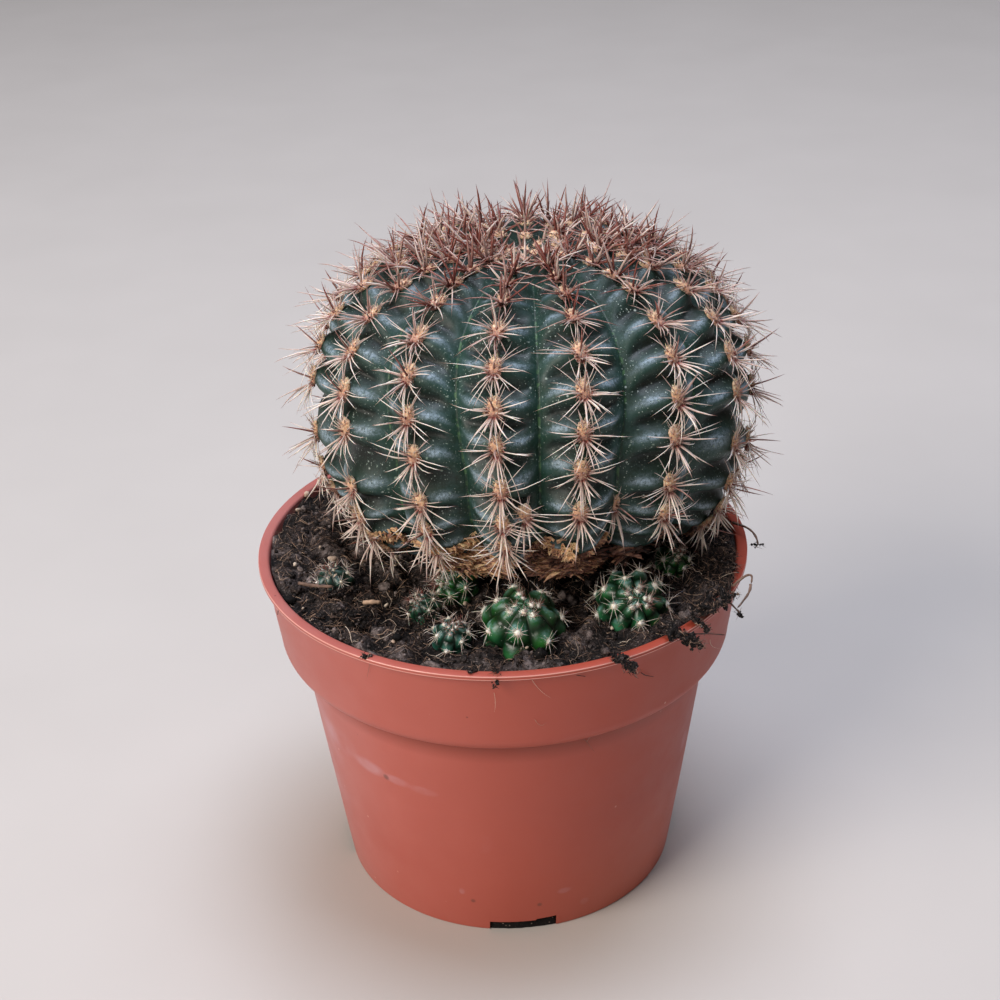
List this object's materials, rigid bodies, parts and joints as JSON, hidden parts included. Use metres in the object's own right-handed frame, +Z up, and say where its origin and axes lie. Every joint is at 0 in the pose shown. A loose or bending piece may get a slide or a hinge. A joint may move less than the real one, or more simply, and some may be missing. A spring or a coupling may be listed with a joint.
{
  "type": "potted round cactus",
  "caption": "Round ribbed cactus with spines and young pups at its foot, growing in peat in a tapered plastic nursery pot with a collar.",
  "frame": {"origin": "middle of the pot's foot, on the surface that the pot stands on", "axes": "+Z up along the pot's axis, -Y towards the front of the plant as pictured, +X to its right"},
  "size_m": [0.1279, 0.1283, 0.1701],
  "materials": {
    "pot_plastic": "satin",
    "peat": "matte",
    "cactus_skin": "satin",
    "pup_skin": "satin"
  },
  "bodies": {
    "root": {"pot": "pot_plastic", "soil": "peat", "cactus_body": "cactus_skin", "pup_front": "pup_skin", "pup_right": "pup_skin", "pup_left": "pup_skin", "pup_low_left": "pup_skin", "pup_shaded": "pup_skin", "pup_far_right": "pup_skin", "pup_far_left": "pup_skin"}
  },
  "joints": []
}
